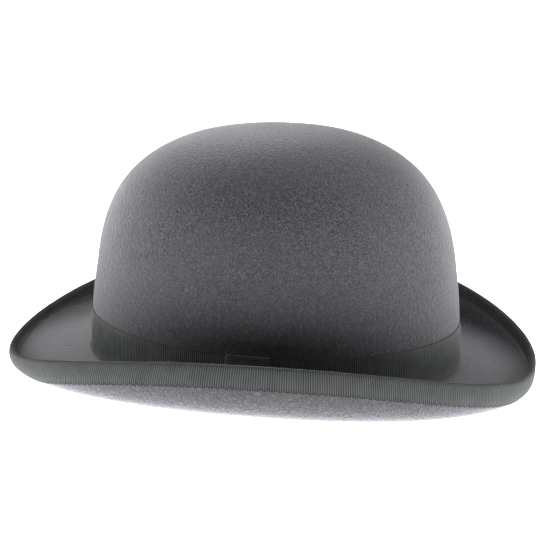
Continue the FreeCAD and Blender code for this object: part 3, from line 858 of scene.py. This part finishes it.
class Look:
    """One material: a Principled shader and short calls that add nodes to it.

    Input sockets are given by name, or as i and their number.
    """

    def __init__(self, name, **sockets):
        self.material = bpy.data.materials.new(name)
        self.material.use_nodes = True
        self.tree = self.material.node_tree
        self.shader = next(n for n in self.tree.nodes if n.type == "BSDF_PRINCIPLED")
        for socket, value in sockets.items():
            self.shader.inputs[socket.replace("_", " ")].default_value = value

    def node(self, kind, settings=(), **inputs):
        node = self.tree.nodes.new(kind)
        for setting, value in settings:
            setattr(node, setting, value)
        for socket, value in inputs.items():
            self.put(value, node.inputs[int(socket[1:]) if socket[1:].isdigit() else socket])
        return node

    def put(self, value, target):
        if isinstance(value, bpy.types.NodeSocket):
            self.tree.links.new(value, target)
        else:
            target.default_value = value

    def set(self, socket, value):
        self.put(value, self.shader.inputs[socket])

    def place(self):
        """Where on the hat, in metres."""
        return self.node("ShaderNodeTexCoord").outputs["Object"]

    def stretched(self, vector, scale):
        return self.node("ShaderNodeVectorMath", [("operation", "MULTIPLY")], i0=vector, i1=scale).outputs[0]

    def noise(self, vector, size, detail=2.0, roughness=0.5, distortion=0.0):
        """Noise from 0 to 1 with features about `size` metres across."""
        return self.node("ShaderNodeTexNoise", Vector=vector, Scale=1 / size, Detail=detail,
                         Roughness=roughness, Distortion=distortion).outputs["Fac"]

    def math(self, operation, a, b=0.0, c=0.5):
        return self.node("ShaderNodeMath", [("operation", operation)], i0=a, i1=b, i2=c).outputs[0]

    def spread(self, value, low, high, to_low=0.0, to_high=1.0):
        """`value` between low and high, stretched to to_low..to_high and kept inside."""
        return self.node("ShaderNodeMapRange", Value=value, i1=low, i2=high, i3=to_low, i4=to_high).outputs[0]

    def mix(self, share, first, second):
        mixed = self.node("ShaderNodeMix", [("data_type", "RGBA")], i0=share, i6=first, i7=second)
        return mixed.outputs[2]

    def stain(self, base, value, low, high, most, colour):
        """`base` going towards `colour` where `value` rises from low to high, by `most` at the end."""
        return self.mix(self.spread(value, low, high, 0.0, most), base, colour)

    def bump(self, height, distance, strength, **under):
        return self.node("ShaderNodeBump", Height=height, Distance=distance, Strength=strength,
                         **under).outputs[0]


def shade(colour, amount):
    return tuple(part * amount for part in colour) + (1.0,)


def felt_look():
    """Wool felt: grain, soft mottling and short light strands that are painted highlights, and high on the
    crown a stronger grain contrast that is painted light and shade.
    """
    look = Look("wool_felt", Roughness=0.95, Specular_IOR_Level=0.1, Sheen_Weight=0.9, Sheen_Roughness=0.42,
                Sheen_Tint=(0.95, 0.93, 0.98, 1.0))
    place = look.place()
    grain = look.noise(place, 0.8 * MM, 2.0, 0.6, 0.4)
    mottle = look.noise(place, 1.9 * MM, 2.0, 0.6, 0.3)
    cloud = look.noise(place, 24 * MM)
    strands = look.noise(look.stretched(place, (1.0, 1.0, 0.22)), 0.55 * MM, 2.0, 0.6, 0.6)
    cross_strands = look.noise(look.stretched(place, (0.25, 0.25, 1.0)), 0.6 * MM, 2.0, 0.6, 0.6)
    fibres_and_glints = look.math("MAXIMUM", strands, cross_strands)
    height = look.node("ShaderNodeSeparateXYZ", Vector=place).outputs["Z"]
    even_grain = look.spread(grain, 0.4, 0.6)
    smooth = look.mix(even_grain, shade(FELT_COLOUR, 0.6), shade(FELT_COLOUR, 1.4))
    # Painted light and shade: high on the crown the grain's contrast rises, standing for the shading of the
    # felt's bumps.
    grain_with_painted_shade = look.mix(even_grain, shade(FELT_COLOUR, 0.22), shade(FELT_COLOUR, 1.85))
    base = look.mix(look.spread(height, 50 * MM, 105 * MM), smooth, grain_with_painted_shade)
    base = look.stain(base, mottle, 0.35, 0.65, 0.75, shade(FELT_COLOUR, 0.72))
    base = look.stain(base, cloud, 0.35, 0.65, 0.3, shade(FELT_COLOUR, 1.08))
    # Painted highlights: the fibres are painted lighter where they catch the light; their bump below is real
    # texture.
    base = look.stain(base, fibres_and_glints, 0.6, 0.74, 0.7, shade(FELT_COLOUR, 2.1))
    look.set("Base Color", base)
    coarse = look.bump(mottle, 0.6 * MM, 0.8)
    look.set("Normal", look.bump(look.math("ADD", grain, fibres_and_glints), 0.34 * MM, 1.0, Normal=coarse))
    return look.material


def ribbon_look(name, colour, ribs_across=False, width=None, painted_edge_shades=None, sheen=0.3):
    """Grosgrain: ribs one pitch apart with painted shade in their grooves, fine warp threads over them, and
    with a width a painted line along each edge, of painted shade or a painted highlight.
    """
    look = Look(name, Roughness=0.7, Specular_IOR_Level=0.25, Sheen_Weight=sheen, Sheen_Roughness=0.3,
                Sheen_Tint=(0.9, 0.95, 0.95, 1.0))
    uv = look.node("ShaderNodeUVMap", [("uv_map", "ribbon")]).outputs[0]
    along, across, _ = look.node("ShaderNodeSeparateXYZ", Vector=uv).outputs
    ribbed, smooth = (across, along) if ribs_across else (along, across)
    phase = look.math("MULTIPLY", ribbed, TAU / RIB_PITCH)
    rib = look.math("MULTIPLY_ADD", look.math("COSINE", phase), -0.5)
    threads = look.math("SINE", look.math("MULTIPLY", smooth, TAU / (0.28 * MM)))
    fray = look.noise(look.stretched(uv, (1.0, 0.35, 1.0) if ribs_across else (0.35, 1.0, 1.0)), 0.35 * MM)
    worn = look.noise(look.place(), 9 * MM, 3.0)
    # Painted shade in the grooves between ribs and painted light on their ridges.
    base = look.mix(look.spread(rib, 0.22, 0.85), shade(colour, 0.1), shade(colour, 1.3))
    base = look.stain(base, fray, 0.35, 0.7, 0.45, shade(colour, 0.7))
    base = look.stain(base, worn, 0.35, 0.7, 0.3, shade(colour, 1.25))
    # Painted lines along the two edges: a share below 1 is a painted shadow, above 1 a painted highlight.
    if width:
        first = look.spread(across, PAINTED_EDGE_LINE, 1.5 * PAINTED_EDGE_LINE, 1.0, 0.0)
        last = look.spread(across, width - 1.5 * PAINTED_EDGE_LINE, width - PAINTED_EDGE_LINE)
        base = look.mix(first, base, shade(colour, painted_edge_shades[0]))
        base = look.mix(last, base, shade(colour, painted_edge_shades[1]))
    look.set("Base Color", base)
    fine = look.math("ADD", look.math("MULTIPLY", threads, 0.25), fray)
    look.set("Normal", look.bump(fine, 0.07 * MM, 0.7))
    return look.material


def thread_look(name, colour):
    look = Look(name, Roughness=0.55, Specular_IOR_Level=0.4, Sheen_Weight=0.3, Sheen_Roughness=0.3)
    place = look.place()
    twist = look.node("ShaderNodeTexWave", [("bands_direction", "DIAGONAL")], Vector=place,
                      Scale=1 / (2.6 * MM), Distortion=1.5, Detail=1.0).outputs["Fac"]
    fuzz = look.noise(place, 0.25 * MM)
    base = look.mix(twist, shade(colour, 0.6), shade(colour, 1.3))
    look.set("Base Color", look.stain(base, fuzz, 0.3, 0.7, 0.4, shade(colour, 0.8)))
    look.set("Normal", look.bump(look.math("ADD", twist, fuzz), 0.08 * MM, 0.8))
    return look.material


def leather_look(colour):
    look = Look("sweatband_leather", Specular_IOR_Level=0.45, Coat_Weight=0.08, Coat_Roughness=0.35)
    place = look.place()
    cells = look.node("ShaderNodeTexVoronoi", [("feature", "DISTANCE_TO_EDGE")], Vector=place,
                      Scale=1 / (1.3 * MM))
    creases = look.spread(cells.outputs["Distance"], 0.0, 0.16)
    pores = look.noise(place, 0.5 * MM)
    tone = look.noise(place, 14 * MM, 3.0)
    base = look.mix(look.spread(tone, 0.3, 0.7), shade(colour, 0.8), shade(colour, 1.25))
    look.set("Base Color", look.mix(creases, shade(colour, 0.55), base))
    look.set("Roughness", look.spread(tone, 0.3, 0.7, 0.42, 0.58))
    height = look.math("ADD", look.math("MULTIPLY", creases, 0.7), look.math("MULTIPLY", pores, 0.5))
    look.set("Normal", look.bump(height, 0.12 * MM, 0.6))
    return look.material


def satin_look(name, colour):
    look = Look(name, Roughness=0.34, Specular_IOR_Level=0.55, Sheen_Weight=0.35, Sheen_Roughness=0.25,
                Anisotropic=0.4)
    place = look.place()
    slub = look.noise(look.stretched(place, (1.0, 1.0, 0.08)), 0.5 * MM)
    weave = look.noise(look.stretched(place, (0.15, 0.15, 1.0)), 0.35 * MM)
    tone = look.noise(place, 20 * MM)
    base = look.mix(look.spread(tone, 0.35, 0.65), shade(colour, 0.9), shade(colour, 1.12))
    look.set("Base Color", look.stain(base, slub, 0.4, 0.7, 0.4, shade(colour, 0.75)))
    look.set("Normal", look.bump(look.math("ADD", slub, weave), 0.06 * MM, 0.5))
    return look.material


def woven_look(name, colour, size):
    """Plain weave: over and under threads `size` apart."""
    look = Look(name, Roughness=0.8, Specular_IOR_Level=0.2)
    place = look.place()
    first, second = (look.node("ShaderNodeTexWave", [("bands_direction", axis)], Vector=place,
                               Scale=0.16 / size, Distortion=0.4).outputs["Fac"] for axis in "ZX")
    weave = look.math("MAXIMUM", first, second)
    base = look.mix(weave, shade(colour, 0.6), shade(colour, 1.2))
    look.set("Base Color", look.stain(base, look.noise(place, 6 * MM), 0.3, 0.7, 0.4, shade(colour, 0.85)))
    look.set("Normal", look.bump(weave, 0.1 * MM, 0.8))
    return look.material


def film_look():
    look = Look("clear_film", Base_Color=(0.9, 0.92, 0.9, 1.0), Specular_IOR_Level=0.6, Alpha=0.22)
    smear = look.noise(look.place(), 12 * MM, 3.0, 0.6, 0.5)
    look.set("Roughness", look.spread(smear, 0.3, 0.7, 0.08, 0.3))
    look.set("Normal", look.bump(smear, 0.5 * MM, 0.3))
    return look.material


def floor_look():
    """A white floor that glows as a light: brightest under the hat and far behind it."""
    look = Look("pale_floor", Base_Color=(0.86, 0.86, 0.86, 1.0), Roughness=0.9, Specular_IOR_Level=0.05,
                Emission_Color=(1.0, 1.0, 1.0, 1.0))
    distance = look.node("ShaderNodeVectorMath", [("operation", "LENGTH")], i0=look.place()).outputs["Value"]
    # Painted light: the floor's glow lights the brim from below and washes out the hat's shadow under it.
    near = look.spread(distance, 0.15, 0.42, 2.7, 0.0)
    far = look.spread(distance, 1.1, 1.7, 0.7, 3.2)
    look.set("Emission Strength", look.math("ADD", near, far))
    return look.material


# ---- stage ----

def add_floor():
    half = 6.0
    corners = [(-half, -half, 0), (half, -half, 0), (half, half, 0), (-half, half, 0)]
    mesh = bpy.data.meshes.new("floor")
    mesh.from_pydata(corners, [], [(0, 1, 2, 3)])
    mesh.materials.append(floor_look())
    floor = add_object("floor", mesh)
    floor.location.z = CAD_BOX[0][2] - 0.2 * MM


# name, place, width and height, watts
SOFTBOXES = (
    ("softbox_front_low", (-0.35, -1.6, 0.35), (1.1, 0.5), 13.6),
    ("softbox_front_far", (-1.1, -1.1, 0.6), (0.8, 0.8), 7.5),
    ("softbox_front_near", (0.5, -1.4, 0.9), (0.8, 0.8), 4.0),
    ("softbox_back_high", (-0.35, 1.1, 1.25), (1.1, 1.0), 9.6),
    ("softbox_back_side", (-0.35, 1.45, 0.8), (1.1, 0.7), 9.0),
    ("softbox_far_side", (-1.6, 0.0, 0.7), (1.6, 0.5), 4.8),
    ("softbox_above", (-0.95, 0.0, 1.45), (1.4, 0.9), 8.5),
)


def add_lights():
    """Soft boxes that face the middle of the hat, and a faint even world light."""
    middle = Vector((0.0, 0.0, 0.07))
    for name, place, size, power in SOFTBOXES:
        data = bpy.data.lights.new(name, "AREA")
        data.shape = "RECTANGLE"
        data.size, data.size_y = size
        data.energy = power
        light = add_object(name, data)
        light.location = place
        light.rotation_euler = (middle - Vector(place)).to_track_quat("-Z", "Y").to_euler()
    world = bpy.data.worlds.new("studio")
    world.use_nodes = True
    background = world.node_tree.nodes["Background"]
    background.inputs["Color"].default_value = (1.0, 1.0, 1.0, 1.0)
    background.inputs["Strength"].default_value = 0.02
    bpy.context.scene.world = world


def add_camera():
    """From the wearer's left, a little behind and above the brim, and turned slightly about its axis."""
    elevation, azimuth, roll, drop = (radians(angle) for angle in (15.6, 95.86, 2.47, 0.729))
    distance = 1.278
    target = Vector((0.0, 1.7 * MM, BREAK_HEIGHT + 60 * MM))
    back = Vector((sin(azimuth) * cos(elevation), -cos(azimuth) * cos(elevation), sin(elevation)))
    right = Matrix.Rotation(roll, 3, back) @ Vector((cos(azimuth), sin(azimuth), 0.0))
    tilt = Matrix.Rotation(-drop, 3, right)
    data = bpy.data.cameras.new("camera")
    data.lens = 145.5
    data.sensor_width = 36.0
    camera = add_object("camera", data)
    axes = Matrix((right, tilt @ back.cross(right), tilt @ back)).transposed().to_4x4()
    camera.matrix_world = Matrix.Translation(target + back * distance) @ axes
    bpy.context.scene.camera = camera


def paint_node(node, material):
    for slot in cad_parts[node].material_slots:
        slot.material = material


def main():
    add_camera()
    loop_ribbon = ribbon_look("loop_grosgrain", RIBBON_COLOUR)
    binding_width = BINDING_UPPER + BINDING_UNDER + pi * (FELT / 2 + GAP)
    dark_thread = thread_look("binding_thread", DARK_THREAD_COLOUR)
    leather_thread = thread_look("leather_thread", LEATHER_THREAD_COLOUR)
    satin = satin_look("satin", SATIN_COLOUR)

    felt_body(felt_look())
    # The band's two edges: painted shadow lines where it meets the felt.
    hat_band(ribbon_look("band_grosgrain", RIBBON_COLOUR, width=BAND_WIDTH, painted_edge_shades=(0.3, 0.3)))
    bow_knot(ribbon_look("knot_grosgrain", RIBBON_COLOUR, ribs_across=True))
    bow_loops(loop_ribbon)
    # The binding's upper edge: a painted highlight; its under edge: a painted shadow line.
    brim_binding(ribbon_look("binding_grosgrain", BINDING_COLOUR, width=binding_width, painted_edge_shades=(1.9, 0.3),
                             sheen=0.6))
    binding_stitches(dark_thread)
    sweatband(leather_look(LEATHER_COLOUR))
    sweatband_stitches(leather_thread)
    seam_stitches(leather_thread)
    small_bow(loop_ribbon)
    size_label(woven_look("label_weave", LABEL_COLOUR, 0.35 * MM), dark_thread)
    lining_side(satin)
    lining_tip(satin)
    lining_piping(satin_look("piping_satin", PIPING_COLOUR))
    shield_stitches(leather_thread)
    paint_node("tip_shield", film_look())
    paint_node("reed_tape", woven_look("tape_weave", TAPE_COLOUR, 0.5 * MM))
    paint_node("sweatband_reed", woven_look("reed_wrap", REED_COLOUR, 0.4 * MM))

    add_floor()
    add_lights()
    bpy.context.scene.view_settings.view_transform = "Standard"


main()
